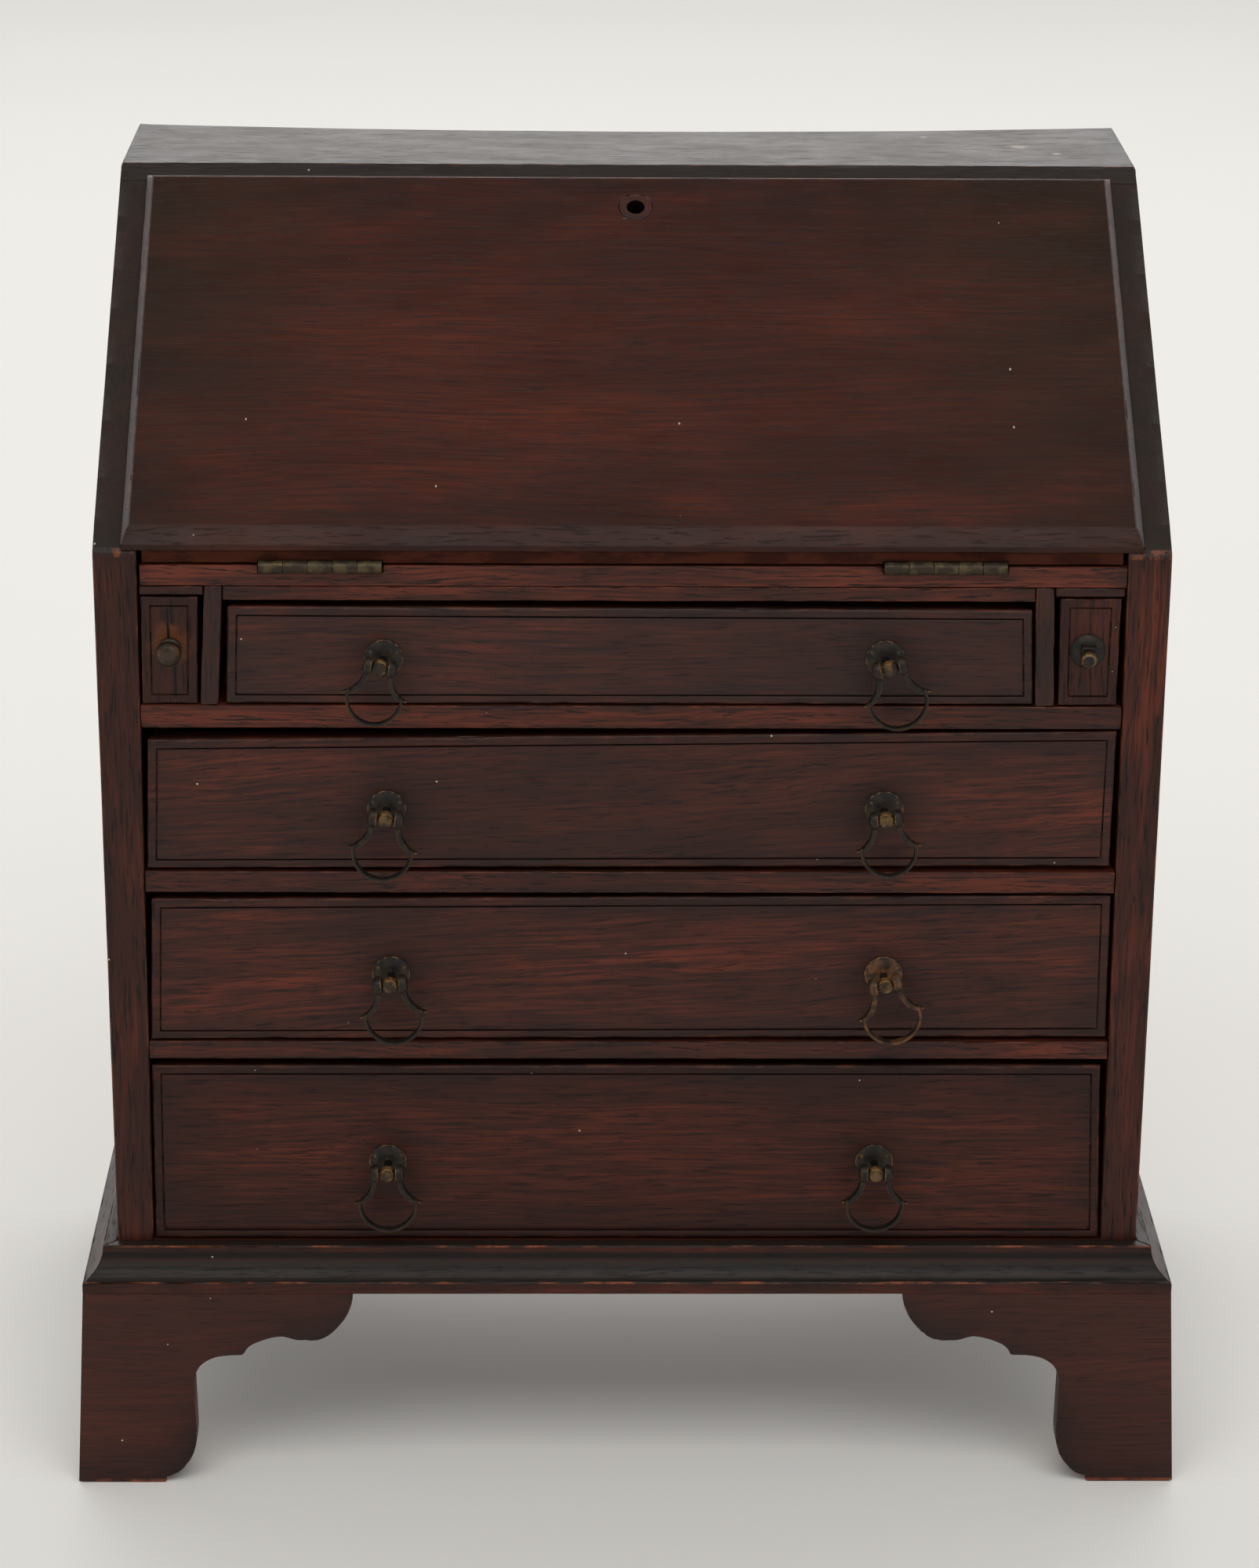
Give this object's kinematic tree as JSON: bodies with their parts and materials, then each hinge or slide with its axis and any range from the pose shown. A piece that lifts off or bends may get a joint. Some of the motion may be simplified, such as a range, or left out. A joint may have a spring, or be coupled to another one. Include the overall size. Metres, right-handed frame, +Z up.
{
  "type": "miniature slant-front bureau",
  "caption": "Miniature slant-front bureau: sloping hinged fall over pull-out lopers, a narrow top drawer, graduated long drawers with drop pulls, moulded plinth and bracket feet.",
  "frame": {"origin": "centre of the footprint on the surface it stands on, midway between the splayed front feet and the back board", "axes": "+Z up, -Y towards the user (drawer fronts), +X to the user's right"},
  "size_m": [0.2408, 0.137, 0.2734],
  "materials": {
    "carcass_mahogany": "dark, worn, satin, near black on end grain",
    "front_mahogany": "dark reddish brown, waxed, satin, worn arrises",
    "plinth_mahogany": "dark reddish brown, satin, worn edges",
    "lining_pine": "dry, unpolished",
    "pull_brass": "dark patina with rubbed high spots",
    "hinge_brass": "dull, tarnished"
  },
  "bodies": {
    "carcass": {"side_left": "carcass_mahogany", "side_right": "carcass_mahogany", "top_board": "carcass_mahogany", "backboard": "lining_pine", "writing_board": "front_mahogany", "upper_rail": "front_mahogany", "loper_caps": "front_mahogany", "loper_dividers": "front_mahogany", "drawer_rails": "front_mahogany", "dust_boards": "lining_pine", "drawer_stops": "lining_pine", "bottom_board": "lining_pine", "plinth_front": "plinth_mahogany", "plinth_sides": "plinth_mahogany", "foot_front_left": "plinth_mahogany", "foot_front_right": "plinth_mahogany", "foot_rear_left": "plinth_mahogany", "foot_rear_right": "plinth_mahogany", "foot_blocks": "lining_pine", "pigeonhole_shelf": "front_mahogany", "pigeonhole_partitions": "front_mahogany", "hinge_bed_leaves": "hinge_brass", "hinge_pins": "hinge_brass", "hinge_bed_screws": "hinge_brass"},
    "fall": {"fall_panel": "front_mahogany", "keyhole_bush": "pull_brass", "hinge_fall_leaves": "hinge_brass", "hinge_fall_screws": "hinge_brass"},
    "loper_left": {"loper_left": "front_mahogany", "loper_knob_left": "pull_brass"},
    "loper_right": {"loper_right": "front_mahogany", "loper_knob_right": "pull_brass"},
    "drawer_1": {"drawer_1_front": "front_mahogany", "drawer_1_sides": "lining_pine", "drawer_1_back": "lining_pine", "drawer_1_bottom": "lining_pine", "drawer_1_pull_mounts": "pull_brass"},
    "drawer_1_bail_left": {"drawer_1_bail_left": "pull_brass"},
    "drawer_1_bail_right": {"drawer_1_bail_right": "pull_brass"},
    "drawer_2": {"drawer_2_front": "front_mahogany", "drawer_2_sides": "lining_pine", "drawer_2_back": "lining_pine", "drawer_2_bottom": "lining_pine", "drawer_2_pull_mounts": "pull_brass"},
    "drawer_2_bail_left": {"drawer_2_bail_left": "pull_brass"},
    "drawer_2_bail_right": {"drawer_2_bail_right": "pull_brass"},
    "drawer_3": {"drawer_3_front": "front_mahogany", "drawer_3_sides": "lining_pine", "drawer_3_back": "lining_pine", "drawer_3_bottom": "lining_pine", "drawer_3_pull_mounts": "pull_brass"},
    "drawer_3_bail_left": {"drawer_3_bail_left": "pull_brass"},
    "drawer_3_bail_right": {"drawer_3_bail_right": "pull_brass"},
    "drawer_4": {"drawer_4_front": "front_mahogany", "drawer_4_sides": "lining_pine", "drawer_4_back": "lining_pine", "drawer_4_bottom": "lining_pine", "drawer_4_pull_mounts": "pull_brass"},
    "drawer_4_bail_left": {"drawer_4_bail_left": "pull_brass"},
    "drawer_4_bail_right": {"drawer_4_bail_right": "pull_brass"}
  },
  "joints": [
    {"name": "fall_hinge", "type": "hinge", "parent": "carcass", "child": "fall", "pos_m": [0, -0.0596, 0.208], "axis": [1, 0, 0], "range_deg": [0, 144.94]},
    {"name": "loper_left_slide", "type": "slide", "parent": "carcass", "child": "loper_left", "axis": [0, -1, 0], "range_m": [0, 0.09]},
    {"name": "loper_right_slide", "type": "slide", "parent": "carcass", "child": "loper_right", "axis": [0, -1, 0], "range_m": [0, 0.09]},
    {"name": "drawer_1_slide", "type": "slide", "parent": "carcass", "child": "drawer_1", "axis": [0, -1, 0], "range_m": [0, 0.095]},
    {"name": "drawer_1_bail_left_swing", "type": "hinge", "parent": "drawer_1", "child": "drawer_1_bail_left", "pos_m": [-0.0515, -0.0649, 0.1881], "axis": [-1, 0, 0], "range_deg": [-14, 150]},
    {"name": "drawer_1_bail_right_swing", "type": "hinge", "parent": "drawer_1", "child": "drawer_1_bail_right", "pos_m": [0.0524, -0.0649, 0.1881], "axis": [-1, 0, 0], "range_deg": [-14, 150]},
    {"name": "drawer_2_slide", "type": "slide", "parent": "carcass", "child": "drawer_2", "axis": [0, -1, 0], "range_m": [0, 0.095]},
    {"name": "drawer_2_bail_left_swing", "type": "hinge", "parent": "drawer_2", "child": "drawer_2_bail_left", "pos_m": [-0.0513, -0.0649, 0.1548], "axis": [-1, 0, 0], "range_deg": [-14, 150]},
    {"name": "drawer_2_bail_right_swing", "type": "hinge", "parent": "drawer_2", "child": "drawer_2_bail_right", "pos_m": [0.0531, -0.0649, 0.1548], "axis": [-1, 0, 0], "range_deg": [-14, 150]},
    {"name": "drawer_3_slide", "type": "slide", "parent": "carcass", "child": "drawer_3", "axis": [0, -1, 0], "range_m": [0, 0.095]},
    {"name": "drawer_3_bail_left_swing", "type": "hinge", "parent": "drawer_3", "child": "drawer_3_bail_left", "pos_m": [-0.0508, -0.0649, 0.1173], "axis": [-1, 0, 0], "range_deg": [-14, 150]},
    {"name": "drawer_3_bail_right_swing", "type": "hinge", "parent": "drawer_3", "child": "drawer_3_bail_right", "pos_m": [0.054, -0.0649, 0.1173], "axis": [-1, 0, 0], "range_deg": [-14, 150]},
    {"name": "drawer_4_slide", "type": "slide", "parent": "carcass", "child": "drawer_4", "axis": [0, -1, 0], "range_m": [0, 0.095]},
    {"name": "drawer_4_bail_left_swing", "type": "hinge", "parent": "drawer_4", "child": "drawer_4_bail_left", "pos_m": [-0.052, -0.0649, 0.0733], "axis": [-1, 0, 0], "range_deg": [-14, 150]},
    {"name": "drawer_4_bail_right_swing", "type": "hinge", "parent": "drawer_4", "child": "drawer_4_bail_right", "pos_m": [0.0532, -0.0649, 0.0733], "axis": [-1, 0, 0], "range_deg": [-14, 150]}
  ]
}
